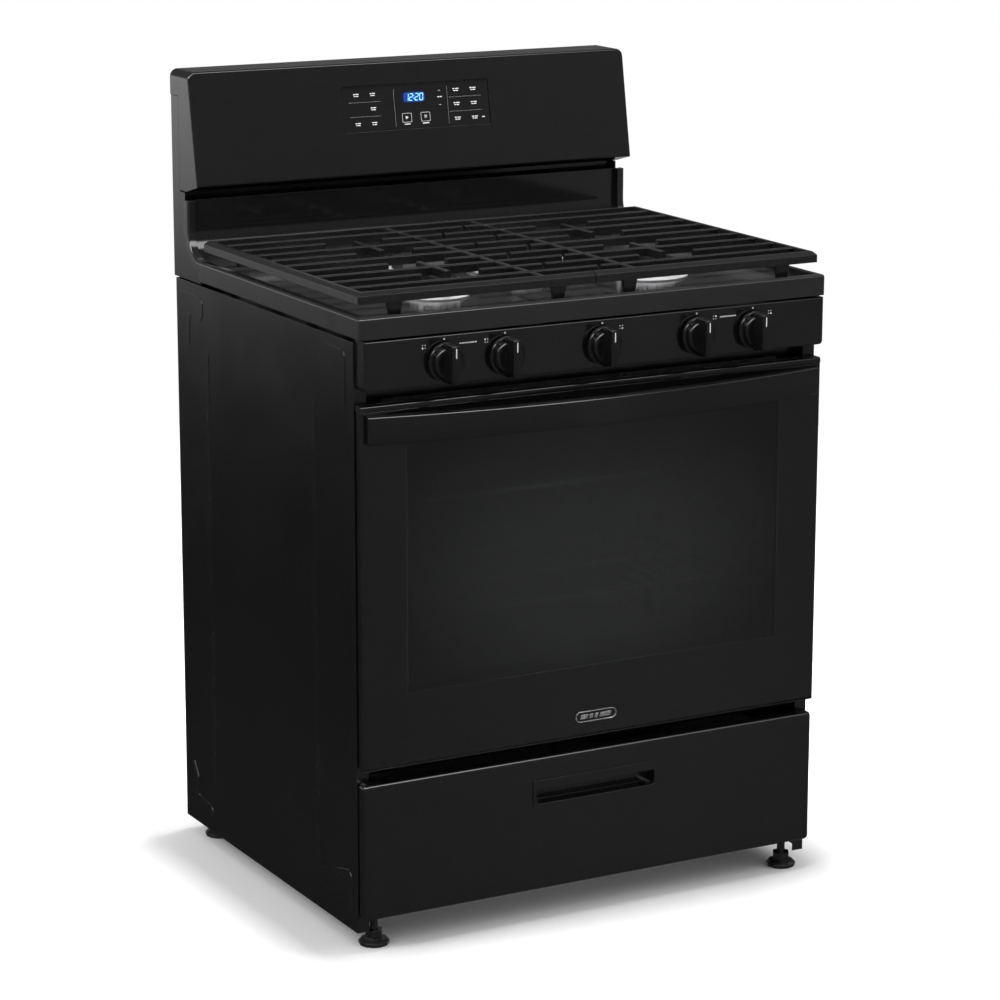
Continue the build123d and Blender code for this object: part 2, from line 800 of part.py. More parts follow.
def hinge_notches(low, high):
    """The two spaces for the hinge arms in the door's lower edge."""
    return [block(x - 10, x + 10, y_glass_back, 0, low, high) for x in (-hinge_x, hinge_x)]


def door_frame():
    """The folded door skin: one channel ring open towards the glass, with thin outer edges."""
    low = z_door_low
    high = z_door_top - 8
    hole_x = window_x + 42
    frame = block(-door_x, door_x, y_glass_back, y_door_back, low, high)
    channel = block(-door_x + 1.4, door_x - 1.4, y_glass_back - 1, y_door_back - 1.4,
                    low + 1.4, high - 1.4)
    channel -= block(-hole_x - 1.4, hole_x + 1.4, y_glass_back - 2, y_door_back, window_low - 41.4,
                     window_top + 23.4)
    frame -= channel
    frame -= block(-hole_x, hole_x, y_glass_back - 1, y_door_back + 1,
                   window_low - 40, window_top + 22)
    for side in (-1, 1):
        frame += block(side * door_x, side * (door_x - 1.4), y_door_face + 1, y_glass_back + 2,
                       low, high)
    frame += block(-door_x, door_x, y_door_face + 1, y_glass_back + 2, low, low + 1.4)
    for notch in hinge_notches(low - 1, low + 160):
        frame -= notch
    return frame


def door_top_trim():
    """The capping along the door's top edge with its row of air slots."""
    trim = block(-door_x, door_x, y_door_face, y_door_back + 4, z_door_top - 7.8, z_door_top)
    trim = fillet(trim.faces().sort_by(Axis.Y)[0].edges().sort_by(Axis.Z)[-1], 3)
    for column in range(11):
        x = -325 + 65 * column
        trim -= block(x - 22, x + 22, y_glass_back + 4, y_glass_back + 9,
                      z_door_top - 10, z_door_top + 1)
    return trim


def door_liner():
    """The enamelled inside of the door: flat margin, raised plug and window opening."""
    t = liner_sheet
    liner = block(-350, 350, y_door_back, y_door_back + t, 276, 782)
    liner += block(-plug_x, plug_x, y_door_back, plug_back, plug_low, plug_top)
    liner -= block(-plug_x + t, plug_x - t, y_door_back - 1, plug_back - t, plug_low + t, plug_top - t)
    liner -= block(-window_x, window_x, y_door_back - 5, plug_back + 1, window_low, window_top)
    for notch in hinge_notches(270, 430):
        liner -= notch
    return liner


def door_window_glass():
    """The inner heat glass, held against the door's enamelled inside."""
    y = plug_back - liner_sheet
    return block(-window_x - 8, window_x + 8, y - 3, y, window_low - 8, window_top + 8)


def door_gasket():
    """The woven seal round the door plug."""
    ring = block(-plug_x + 3, plug_x - 3, plug_back, y_frame - 0.3, plug_low + 3, plug_top - 3)
    ring -= block(-plug_x + 11, plug_x - 11, plug_back - 1, y_frame + 1, plug_low + 11, plug_top - 11)
    return fillet(ring.faces().sort_by(Axis.Y)[-1].edges(), 1.8)


def handle_arc(face_y):
    """A shallow bow between the handle's ends, deepest at the middle."""
    end_y = y_door_face - handle_thick + 4 + (face_y - y_handle_face)
    return ThreePointArc((-handle_x, end_y), (0, face_y), (handle_x, end_y))


def door_handle():
    """The full-width bowed handle, seated on the glass at both ends."""
    outer = handle_arc(y_handle_face)
    inner = handle_arc(y_handle_face + handle_thick)
    bow = make_face(Curve() + [outer, Line(outer @ 1, inner @ 1), inner, Line(inner @ 0, outer @ 0)])
    bar = extrude(Pos(0, 0, handle_low) * bow, handle_top - handle_low)
    bar -= block(-handle_x - 1, handle_x + 1, y_door_face, 0, handle_low - 1, handle_top + 1)
    front = bar.faces().sort_by(Axis.Y)[0]
    bar = fillet([edge for edge in front.edges() if edge.length > 100], 4.5)
    for side in (-1, 1):
        bar += block(side * (handle_x - 30), side * handle_x, y_door_face - 8, y_door_face, handle_low + 2,
                     handle_top - 2)
    return bar


def door_hinges():
    """The hinge channels inside the door, their cheeks bored for the pivot pins."""
    hinges = []
    for side in (-1, 1):
        x = side * hinge_x
        channel = block(x - 8, x - 5.2, y_glass_back + 0.5, y_door_back + 14, hinge_z - 6, 424)
        channel += block(x + 5.2, x + 8, y_glass_back + 0.5, y_door_back + 14, hinge_z - 6, 424)
        channel += block(x - 8, x + 8, y_glass_back + 0.5, y_glass_back + 2, hinge_z + 14, 424)
        channel -= rod((x - 9, hinge_y, hinge_z), (x + 9, hinge_y, hinge_z), hinge_pin_r + running_gap)
        hinges.append(channel)
    return group(hinges)


# ---------------------------------------------------------------- drawer and racks


def drawer_front():
    """The pressed drawer front with rounded edges and a slot for the pull."""
    y_back = y_side_front - 2
    front = block(-drawer_x, drawer_x, y_drawer_face, y_back, z_drawer_low, z_drawer_top)
    front = fillet(front.edges().filter_by(Axis.Y), 7)
    front = fillet(front.faces().sort_by(Axis.Y)[0].edges(), 6)
    inner = block(-drawer_x + 1.5, drawer_x - 1.5, y_drawer_face + 1.5, y_back + 1, z_drawer_low + 1.5,
                  z_drawer_top - 1.5)
    inner = fillet(inner.edges().filter_by(Axis.Y), 5.5)
    front -= fillet(inner.faces().sort_by(Axis.Y)[0].edges(), 4.5)
    front -= block(-pull_x, pull_x, y_drawer_face - 1, y_drawer_face + 3, pull_low, pull_top)
    return front


def drawer_pull():
    """The moulded finger pull: a rim on the drawer face and a pocket behind it."""
    pull = block(-pull_x - 4, pull_x + 4, y_drawer_face - 1.6, y_drawer_face, pull_low - 4, pull_top + 4)
    pull = fillet(pull.edges().filter_by(Axis.Y), 3)
    pull += block(-pull_x, pull_x, y_drawer_face - 0.5, y_drawer_face + 22, pull_low, pull_top)
    pocket = block(-pull_x + 2, pull_x - 2, y_drawer_face - 3, y_drawer_face + 20,
                   pull_low + 2, pull_top - 2)
    pull -= fillet(pocket.edges().filter_by(Axis.Y), 6)
    pull += block(-pull_x + 2, pull_x - 2, y_drawer_face - 1.6, y_drawer_face + 2.5,
                  pull_top - 9, pull_top - 1)
    return pull


def drawer_tray():
    """The drawer's sheet box with rims that run in the side rails."""
    front = y_side_front - 3.5
    tray = block(-tray_x, tray_x, front, tray_back, tray_low, tray_top)
    tray -= block(-tray_x + 0.9, tray_x - 0.9, front + 0.9, tray_back - 0.9,
                  tray_low + 0.9, tray_top + 1)
    for side in (-1, 1):
        tray += block(side * (tray_x - 0.5), side * 357, front + 24, tray_back, 168, 170)
        tray += block(side * 350, side * 352, front + 24, tray_back, 160, 180)
    tray -= block(-pull_x - 1, pull_x + 1, front - 1, front + 2, pull_low - 1, pull_top + 1)
    return tray


def oven_rack(level):
    """A plated wire rack: bent outer frame, two cross wires and the long wires over them."""
    z = rib_low + rib_pitch * level + rib_height + rack_wire
    x = cavity_x - 5
    frame = [
        (0, rack_front, z),
        (x, rack_front, z),
        (x, rack_back, z),
        (-x, rack_back, z),
        (-x, rack_front, z),
        (-2, rack_front, z),
    ]
    rack = tube(frame, 18, rack_wire)
    rack += rod((-5, rack_front, z), (5, rack_front, z), rack_wire)
    for y in (-90, 60):
        rack += rod((-x, y, z), (x, y, z), rack_wire)
    for number in range(-9, 10):
        rack += rod((number * 31, rack_front, z + 3), (number * 31, rack_back, z + 3), 1.9)
    return rack


# ---------------------------------------------------------------- the whole range

pieces["side_panel_left"] = side_panel()
pieces["side_panel_right"] = mirror(pieces["side_panel_left"], about=Plane.YZ)
for maker in (
    rear_panel, base_frame, front_frame, oven_liner, oven_floor_plate, oven_insulation, oven_vent,
    bake_burner, broil_burner, oven_igniters, oven_lamp, oven_sensor, hinge_arms, drawer_rails,
    cabinet_screws, cooktop, burner_bases, burner_caps, burner_electrodes, control_panel,
    gas_manifold, burner_valves, gas_regulator, power_inlet, console_panel, keypad_panel,
    control_board, guard_sides, guard_cover, door_glass, door_frame, door_top_trim,
    door_liner, door_window_glass, door_gasket, door_handle, door_hinges, drawer_front,
    drawer_pull, drawer_tray,
):
    pieces[maker.__name__] = maker()
for name, level in rack_levels.items():
    pieces[name] = oven_rack(level)
for name, x in knob_x.items():
    pieces["valve_stem_" + name] = valve_stem(x)
    pieces["knob_" + name] = knob(x)
for name, side in (("grate_left", -1), ("grate_right", 1)):
    pieces[name] = grate(side)
for name, (x, y) in zip(("front_left", "rear_left", "front_right", "rear_right"), leg_positions()):
    pieces["leg_" + name] = levelling_leg(x, y)

for name, shape in pieces.items():
    export_step(shape, "parts/" + name + ".step")
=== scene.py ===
"""Looks of the freestanding gas range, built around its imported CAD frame."""
import json
import math

import bmesh
import bpy
from mathutils import Matrix, Vector


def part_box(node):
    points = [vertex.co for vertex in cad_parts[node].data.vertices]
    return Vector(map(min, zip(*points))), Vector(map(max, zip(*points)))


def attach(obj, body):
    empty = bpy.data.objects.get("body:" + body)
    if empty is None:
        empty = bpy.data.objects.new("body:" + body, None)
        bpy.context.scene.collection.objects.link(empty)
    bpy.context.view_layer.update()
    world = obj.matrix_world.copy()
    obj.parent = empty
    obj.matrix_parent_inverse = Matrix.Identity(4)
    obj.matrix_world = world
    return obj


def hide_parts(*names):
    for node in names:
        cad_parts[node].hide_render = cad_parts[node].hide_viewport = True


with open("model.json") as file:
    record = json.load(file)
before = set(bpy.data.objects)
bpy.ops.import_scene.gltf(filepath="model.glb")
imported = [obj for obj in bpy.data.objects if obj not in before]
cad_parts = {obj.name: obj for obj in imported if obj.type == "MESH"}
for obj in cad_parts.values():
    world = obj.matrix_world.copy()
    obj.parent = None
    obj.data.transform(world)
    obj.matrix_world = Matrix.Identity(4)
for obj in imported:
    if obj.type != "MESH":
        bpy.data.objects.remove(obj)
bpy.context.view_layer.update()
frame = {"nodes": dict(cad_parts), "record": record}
nodes = frame["nodes"]

# ------------------------------------------------------------------ camera

CAMERA_PLACE = (-2.3782, -4.3241, 1.7410)
CAMERA_YAW = 28.839
CAMERA_PITCH = 13.501
CAMERA_ROLL = 0.095
CAMERA_LENS = 121.28
SENSOR_WIDTH = 36.0


def make_camera():
    """The camera at the photograph's viewing angle, solved from the object's straight edges."""
    data = bpy.data.cameras.new("camera")
    data.lens = CAMERA_LENS
    data.sensor_width = SENSOR_WIDTH
    data.clip_end = 100.0
    camera = bpy.data.objects.new("camera", data)
    bpy.context.scene.collection.objects.link(camera)
    turn = Matrix.Rotation(math.radians(-CAMERA_YAW), 4, "Z")
    tilt = Matrix.Rotation(math.radians(90 - CAMERA_PITCH), 4, "X")
    roll = Matrix.Rotation(math.radians(CAMERA_ROLL), 4, "Z")
    camera.matrix_world = Matrix.Translation(CAMERA_PLACE) @ turn @ tilt @ roll
    bpy.context.scene.camera = camera


make_camera()

# ------------------------------------------------------------------ studio

# Brightness of what glossy surfaces see, by the height of the direction (sine of its elevation)
FRONT_GLOW = [
    (-0.6, 0.12), (-0.33, 0.19), (-0.2, 0.235), (0.0, 0.25), (0.22, 0.22), (0.4, 0.06),
    (0.72, 0.06), (1.0, 0.14),
]
LEFT_GLOW = [
    (-0.6, 0.04), (-0.33, 0.04), (-0.28, 0.02), (-0.235, 0.022), (-0.205, 0.05), (-0.185, 0.12),
    (-0.165, 0.33), (-0.11, 1.3), (-0.03, 1.4), (0.05, 0.8), (0.12, 0.25), (0.3, 0.15), (1.0, 0.16),
]
BACK_GLOW = [(-0.6, 0.3), (-0.1, 0.4), (0.05, 0.16), (0.15, 0.10), (0.4, 0.08), (1.0, 0.14)]
# How the front glow swells across its middle, by the sideways part of the direction
FRONT_BAND = [(0.36, 0.9), (0.43, 0.95), (0.48, 1.2), (0.51, 1.2), (0.56, 0.86), (0.62, 0.8)]
# A narrow bright strip high in front, seen only in rounded edges, fading towards the right
STRIP = [(0.42, 0.0), (0.48, 8.0), (0.72, 8.0), (0.78, 0.0)]
STRIP_SIDES = [(0.2, 1.0), (0.44, 0.9), (0.5, 0.35), (0.56, 0.08)]
# How much of the left glow stands in for the back one, and where the two take over from the front
LEFT_SHARE = [(-0.3, 1.0), (0.1, 0.0)]
BEHIND_SHARE = [(-0.1, 0.0), (0.35, 1.0)]
HEIGHT_SPAN = (-0.6, 1.0)
SIDE_SPAN = (-1.0, 1.0)
# A colour ramp holds values up to 1, so levels are divided by these before it
GLOW_SCALE = 8.0
BAND_SCALE = 1.25
AMBIENT = 0.72
TOP_WATTS = 210
LEFT_WATTS = 45
RIGHT_WATTS = 25
OVEN_GLOW_WATTS = 0.3
FLOOR_RADIUS = 3.2
FLOOR_SIDES = 96
FLOOR_COLOUR = (0.92, 0.92, 0.92, 1)


def link_object(obj):
    bpy.context.scene.collection.objects.link(obj)
    return obj


def make_floor():
    """A pale disc, small enough for the white of the studio to show behind it."""
    mesh = bpy.data.meshes.new("studio_floor")
    rim = []
    for i in range(FLOOR_SIDES):
        angle = 2 * math.pi / FLOOR_SIDES * i
        rim.append((FLOOR_RADIUS * math.cos(angle), FLOOR_RADIUS * math.sin(angle), 0))
    mesh.from_pydata(rim, [], [tuple(range(FLOOR_SIDES))])
    floor = link_object(bpy.data.objects.new("studio_floor", mesh))
    material = bpy.data.materials.new("floor_paint")
    material.use_nodes = True
    surface = material.node_tree.nodes["Principled BSDF"]
    surface.inputs["Base Color"].default_value = FLOOR_COLOUR
    surface.inputs["Roughness"].default_value = 0.9
    surface.inputs["Specular IOR Level"].default_value = 0.1
    mesh.materials.append(material)
    floor.visible_glossy = False


def area_light(name, place, target, size, power):
    """A soft rectangular light at a place, aimed at a target."""
    data = bpy.data.lights.new(name, "AREA")
    data.shape = "RECTANGLE"
    data.size = size[0]
    data.size_y = size[1]
    data.energy = power
    lamp = link_object(bpy.data.objects.new(name, data))
    lamp.location = place
    aim = Vector(target) - Vector(place)
    lamp.rotation_euler = aim.to_track_quat("-Z", "Y").to_euler()
    return lamp


def make_world():
    """White studio for the camera and the floor; black flags and a low glow for reflections."""
    world = bpy.data.worlds.new("studio")
    bpy.context.scene.world = world
    world.use_nodes = True
    world.cycles.sampling_method = "NONE"
    tree = world.node_tree
    tree.nodes.clear()

    def add(kind):
        return tree.nodes.new(kind)

    def join(source, target):
        tree.links.new(source, target)

    def levels(source, bounds, stops, scale=GLOW_SCALE):
        """A grey level that follows the (place, level) stops, divided by the scale."""
        low, high = bounds
        span = add("ShaderNodeMapRange")
        join(source, span.inputs["Value"])
        span.inputs["From Min"].default_value = low
        span.inputs["From Max"].default_value = high
        ramp = add("ShaderNodeValToRGB")
        join(span.outputs["Result"], ramp.inputs["Fac"])
        elements = ramp.color_ramp.elements
        places = [(z - low) / (high - low) for z, _ in stops]
        elements[0].position = places[0]
        elements[1].position = places[-1]
        for place in places[1:-1]:
            elements.new(place)
        for element, (_, level) in zip(elements, stops):
            element.color = (level / scale,) * 3 + (1,)
        return ramp.outputs["Color"]

    def background(strength):
        shader = add("ShaderNodeBackground")
        shader.inputs["Strength"].default_value = strength
        shader.inputs["Color"].default_value = (1, 1, 1, 1)
        return shader

    def blend(fac, first, second, kind="ShaderNodeMixShader"):
        mix = add(kind)
        join(fac, mix.inputs[0])
        join(first, mix.inputs[1])
        join(second, mix.inputs[2])
        return mix.outputs[0]

    def combined(operation, first, second):
        """Two colours added or multiplied, channel by channel."""
        node = add("ShaderNodeVectorMath")
        node.operation = operation
        join(first, node.inputs[0])
        join(second, node.inputs[1])
        return node.outputs[0]

    def banded(first, second):
        """The product of two colours, with the second one's scale put back."""
        restored = add("ShaderNodeVectorMath")
        restored.operation = "SCALE"
        restored.inputs["Scale"].default_value = BAND_SCALE
        join(combined("MULTIPLY", first, second), restored.inputs[0])
        return restored.outputs[0]

    out = add("ShaderNodeOutputWorld")
    path = add("ShaderNodeLightPath")
    coord = add("ShaderNodeTexCoord")
    split = add("ShaderNodeSeparateXYZ")
    join(coord.outputs["Generated"], split.inputs[0])
    sideways, forward, height = split.outputs["X"], split.outputs["Y"], split.outputs["Z"]
    front = banded(levels(height, HEIGHT_SPAN, FRONT_GLOW),
                   levels(sideways, SIDE_SPAN, FRONT_BAND, BAND_SCALE))
    strip = banded(levels(height, HEIGHT_SPAN, STRIP),
                   levels(sideways, SIDE_SPAN, STRIP_SIDES, BAND_SCALE))
    front = combined("ADD", front, strip)
    left = levels(height, HEIGHT_SPAN, LEFT_GLOW)
    right = levels(height, HEIGHT_SPAN, BACK_GLOW)
    leftness = levels(sideways, SIDE_SPAN, LEFT_SHARE, 1.0)
    backness = levels(forward, SIDE_SPAN, BEHIND_SHARE, 1.0)
    behind = blend(leftness, right, left, "ShaderNodeMixRGB")
    around = blend(backness, front, behind, "ShaderNodeMixRGB")
    reflected = background(GLOW_SCALE)
    join(around, reflected.inputs["Color"])
    lit = blend(path.outputs["Is Glossy Ray"], background(AMBIENT).outputs[0], reflected.outputs[0])
    seen = blend(path.outputs["Is Camera Ray"], lit, background(1.0).outputs[0])
    join(seen, out.inputs["Surface"])


make_floor()
make_world()
soft_top = area_light("soft_top", (0.06, 0.02, 3.3), (0.05, 0.02, 0.6), (1.0, 0.6), TOP_WATTS)
soft_top.visible_glossy = False
area_light("soft_left", (-3.4, 0.2, 2.3), (0, 0, 0.7), (0.9, 2.0), LEFT_WATTS)
soft_right = area_light("soft_right", (3.0, -2.2, 2.4), (0, 0, 0.6), (0.6, 2.0), RIGHT_WATTS)
soft_right.visible_glossy = False
# A faint light under the oven's roof, so that the window shows a dim grey inside
oven_glow = area_light("oven_glow", (0.0, -0.05, 0.757), (0.0, 0.12, 0.45), (0.24, 0.16),
                       OVEN_GLOW_WATTS)
for ray in ("camera", "glossy", "transmission"):
    setattr(oven_glow, "visible_" + ray, False)
bpy.context.scene.view_settings.view_transform = "Standard"
bpy.context.scene.view_settings.look = "None"

# ------------------------------------------------------------------ materials

# The window in the door's glass, the softness of its border, and the painted glow that makes its
# smoke paler in the middle
WINDOW_HALF = 0.306
WINDOW_LOW = 0.376
WINDOW_TOP = 0.742
WINDOW_BORDER = 0.0012
WINDOW_ROUGHER = 0.085
GLOW_MIDDLE = 0.565
GLOW_HALF_WIDE = 0.34
GLOW_HALF_TALL = 0.24


class Finish:
    """One procedural material, built node by node around a Principled shader."""

    def __init__(self, name):
        self.material = bpy.data.materials.new(name)
        self.material.use_nodes = True
        self.tree = self.material.node_tree
        self.shader = self.tree.nodes["Principled BSDF"]
        self.coord = self.add("ShaderNodeTexCoord")

    def add(self, kind, **values):
        node = self.tree.nodes.new(kind)
        for key, value in values.items():
            setattr(node, key, value)
        return node

    def set(self, **values):
        """Constant values on the shader's own sockets, with _ for each space in a name."""
        for key, value in values.items():
            self.shader.inputs[key.replace("_", " ")].default_value = value

    def join(self, source, target):
        self.tree.links.new(source, target)

    def noise(self, scale, detail=3.0, rough=0.5):
        node = self.add("ShaderNodeTexNoise")
        node.inputs["Scale"].default_value = scale
        node.inputs["Detail"].default_value = detail
        node.inputs["Roughness"].default_value = rough
        self.join(self.coord.outputs["Object"], node.inputs["Vector"])
        return node.outputs["Fac"]

    def cells(self, scale, stretch=None):
        """Distance to the nearest cell's middle, in object coordinates, stretched if asked."""
        node = self.add("ShaderNodeTexVoronoi")
        node.inputs["Scale"].default_value = scale
        place = self.coord.outputs["Object"]
        if stretch:
            mapping = self.add("ShaderNodeMapping")
            mapping.inputs["Scale"].default_value = stretch
            self.join(place, mapping.inputs["Vector"])
            place = mapping.outputs["Vector"]
        self.join(place, node.inputs["Vector"])
        return node.outputs["Distance"]

    def ramp(self, fac, low, high, span=(0.35, 0.65)):
        """A value from low to high as fac goes across the span."""
        node = self.add("ShaderNodeMapRange")
        self.join(fac, node.inputs["Value"])
        node.inputs["From Min"].default_value = span[0]
        node.inputs["From Max"].default_value = span[1]
        node.inputs["To Min"].default_value = low
        node.inputs["To Max"].default_value = high
        return node.outputs["Result"]

    def mix(self, fac, first, second):
        """A colour between first and second, each a colour or a socket."""
        node = self.add("ShaderNodeMix")
        node.data_type = "RGBA"
        self.join(fac, node.inputs["Factor"])
        a = [i for i in node.inputs if i.name == "A" and i.type == "RGBA"][0]
        b = [i for i in node.inputs if i.name == "B" and i.type == "RGBA"][0]
        for socket, value in ((a, first), (b, second)):
            if isinstance(value, (tuple, list)):
                socket.default_value = (*value, 1)
            else:
                self.join(value, socket)
        return [o for o in node.outputs if o.type == "RGBA"][0]

    def math(self, operation, first, second):
        node = self.add("ShaderNodeMath")
        node.operation = operation
        for socket, value in ((node.inputs[0], first), (node.inputs[1], second)):
            if isinstance(value, (int, float)):
                socket.default_value = value
            else:
                self.join(value, socket)
        return node.outputs[0]

    def bump(self, height, strength, distance, under=None):
        node = self.add("ShaderNodeBump")
        node.inputs["Strength"].default_value = strength
        node.inputs["Distance"].default_value = distance
        self.join(height, node.inputs["Height"])
        if under is not None:
            self.join(under, node.inputs["Normal"])
        return node.outputs["Normal"]

    def soft_edges(self, radius):
        node = self.add("ShaderNodeBevel", samples=6)
        node.inputs["Radius"].default_value = radius
        return node.outputs["Normal"]

    def edge_mask(self, radius, sharp=0.06):
        """1 on edges, 0 on flats, from how far the rounded normal leans from the true one."""
        rounded = self.soft_edges(radius)
        true = self.add("ShaderNodeNewGeometry")
        dot = self.add("ShaderNodeVectorMath", operation="DOT_PRODUCT")
        self.join(rounded, dot.inputs[0])
        self.join(true.outputs["Normal"], dot.inputs[1])
        return self.ramp(dot.outputs["Value"], 1.0, 0.0, (1 - sharp, 1 - sharp / 12))

    def wire(self, socket, output):
        self.join(output, self.shader.inputs[socket])


def enamel(name, dark, light, rough):
    """Glossy baked enamel: orange peel, faint smudges, slightly worn edges."""
    f = Finish(name)
    f.set(IOR=1.5)
    wear = f.edge_mask(0.0012)
    patches = f.noise(38.0, 4.0)
    broken = f.math("MULTIPLY", wear, f.ramp(f.noise(160.0, 4.0, 0.65), 0.0, 1.0, (0.45, 0.62)))
    f.wire("Base Color", f.mix(broken, f.mix(patches, dark, light), (0.02, 0.02, 0.021)))
    smudge = f.ramp(f.noise(9.0, 5.0, 0.6), rough[0], rough[1], (0.3, 0.7))
    f.wire("Roughness", f.math("ADD", smudge, f.math("MULTIPLY", broken, 0.18)))
    peel_height = f.noise(420.0, 2.0, 0.4)
    f.wire("Normal", f.bump(peel_height, 0.05, 0.0004, f.soft_edges(0.0007)))
    return f.material


def cast_iron(name, colour, light, rough):
    """Matt enamelled cast iron: pebbled skin, rubbed high edges."""
    f = Finish(name)
    f.set(IOR=1.5)
    wear = f.edge_mask(0.0016, 0.1)
    grain = f.noise(900.0, 3.0, 0.6)
    lumps = f.noise(150.0, 4.0, 0.55)
    rubbed = f.math("MULTIPLY", wear, f.ramp(f.noise(70.0, 4.0, 0.6), 0.1, 1.0, (0.4, 0.62)))
    f.wire("Base Color", f.mix(rubbed, f.mix(lumps, colour, light), [2.6 * c for c in light]))
    f.wire("Roughness", f.ramp(grain, rough[0], rough[1]))
    height = f.math("ADD", f.math("MULTIPLY", grain, 0.35), lumps)
    f.wire("Normal", f.bump(height, 0.35, 0.0006, f.soft_edges(0.0009)))
    return f.material


def metal(name, dark, light, rough, metallic=1.0):
    """Bare metal with fine grain, stains and bright edges; chalky if not fully metallic."""
    f = Finish(name)
    f.set(Metallic=metallic)
    grain = f.noise(300.0, 4.0, 0.6)
    stains = f.noise(14.0, 5.0, 0.6)
    wear = f.edge_mask(0.001)
    base = f.mix(f.ramp(stains, 0.0, 1.0, (0.3, 0.7)), dark, light)
    f.wire("Base Color", f.mix(wear, base, [min(1.0, 1.12 * c) for c in light]))
    stained = f.ramp(stains, -0.03, 0.05)
    f.wire("Roughness", f.math("ADD", f.ramp(grain, rough[0], rough[1]), stained))
    f.wire("Normal", f.bump(grain, 0.12, 0.0002, f.soft_edges(0.0004)))
    return f.material


def plastic(name, dark, light, rough, edge=0.0006):
    """Moulded plastic with a fine texture and scuffed edges."""
    f = Finish(name)
    f.set(IOR=1.46)
    wear = f.edge_mask(0.001)
    fine = f.noise(700.0, 2.0, 0.5)
    tone = f.noise(24.0, 4.0)
    f.wire("Base Color", f.mix(wear, f.mix(tone, dark, light), [1.6 * c for c in light]))
    f.wire("Roughness", f.ramp(f.noise(60.0, 5.0, 0.6), rough[0], rough[1]))
    f.wire("Normal", f.bump(fine, 0.08, 0.0003, f.soft_edges(edge)))
    return f.material


def fibre(name, dark, light, scale, bump):
    """Woven or matted fibre."""
    f = Finish(name)
    f.set(Roughness=0.9, Sheen_Weight=0.3)
    strands = f.cells(scale, (1, 1, 3))
    tone = f.noise(scale / 12, 5.0, 0.7)
    gaps = f.ramp(strands, 0.0, 1.0, (0.1, 0.6))
    f.wire("Base Color", f.mix(gaps, f.mix(tone, dark, light), dark))
    f.wire("Normal", f.bump(f.math("SUBTRACT", tone, strands), bump, 0.0015))
    return f.material


def black_glass(name):
    """Black glass, printed opaque round its border and smoked in its window, the smoke made paler
    in the window's middle as a painted glow.
    """
    f = Finish(name)
    f.set(IOR=1.5)
    split = f.add("ShaderNodeSeparateXYZ")
    f.join(f.coord.outputs["Object"], split.inputs[0])
    aside = f.math("ABSOLUTE", split.outputs["X"], 0.0)
    sides = f.ramp(aside, 1.0, 0.0, (WINDOW_HALF, WINDOW_HALF + WINDOW_BORDER))
    below = f.ramp(split.outputs["Z"], 0.0, 1.0, (WINDOW_LOW - WINDOW_BORDER, WINDOW_LOW))
    above = f.ramp(split.outputs["Z"], 1.0, 0.0, (WINDOW_TOP, WINDOW_TOP + WINDOW_BORDER))
    window = f.math("MINIMUM", sides, f.math("MINIMUM", below, above))
    frit = f.mix(f.noise(20.0), BLACK, (0.0042, 0.0042, 0.0045))
    # Painted light: the smoke is made paler towards the window's middle, a painted glow on top of
    # the faint lamp inside the oven
    across = f.math("DIVIDE", split.outputs["X"], GLOW_HALF_WIDE)
    up = f.math("DIVIDE", f.math("SUBTRACT", split.outputs["Z"], GLOW_MIDDLE), GLOW_HALF_TALL)
    spread = f.math("ADD", f.math("MULTIPLY", across, across), f.math("MULTIPLY", up, up))
    painted_glow = f.ramp(spread, 1.0, 0.0, (0.0, 1.0))
    smoke_and_painted_glow = f.mix(painted_glow, (0.045, 0.046, 0.048), (0.165, 0.169, 0.173))
    f.wire("Base Color", f.mix(window, frit, smoke_and_painted_glow))
    f.wire("Transmission Weight", window)
    smudge = f.ramp(f.noise(11.0, 5.0, 0.6), 0.015, 0.04, (0.3, 0.7))
    f.wire("Roughness", f.math("ADD", smudge, f.math("MULTIPLY", window, WINDOW_ROUGHER)))
    f.wire("Normal", f.bump(f.noise(6.0, 2.0), 0.02, 0.001, f.soft_edges(0.0006)))
    return f.material


def speckled_enamel(name):
    """Oven porcelain: dark blue-grey enamel with small pale flecks."""
    f = Finish(name)
    f.set(IOR=1.5)
    flecks = f.ramp(f.cells(420.0), 1.0, 0.0, (0.12, 0.2))
    sparse = f.ramp(f.noise(260.0, 2.0), 0.0, 1.0, (0.55, 0.6))
    ground = f.mix(f.noise(16.0, 4.0), (0.022, 0.023, 0.026), (0.038, 0.040, 0.046))
    f.wire("Base Color", f.mix(f.math("MULTIPLY", flecks, sparse), ground, (0.32, 0.33, 0.35)))
    f.wire("Roughness", f.ramp(f.noise(8.0, 5.0, 0.6), 0.2, 0.34, (0.3, 0.7)))
    f.wire("Normal", f.bump(f.noise(380.0, 2.0), 0.06, 0.0004, f.soft_edges(0.0005)))
    return f.material


def clear_glass(name):
    """Clear glass, a little grey and smeared."""
    f = Finish(name)
    f.set(IOR=1.45, Transmission_Weight=0.95)
    f.wire("Base Color", f.mix(f.noise(20.0), (0.5, 0.52, 0.52), (0.6, 0.62, 0.62)))
    f.wire("Roughness", f.ramp(f.noise(11.0, 5.0, 0.6), 0.02, 0.08, (0.3, 0.7)))
    return f.material


BLACK = (0.0028, 0.0028, 0.003)
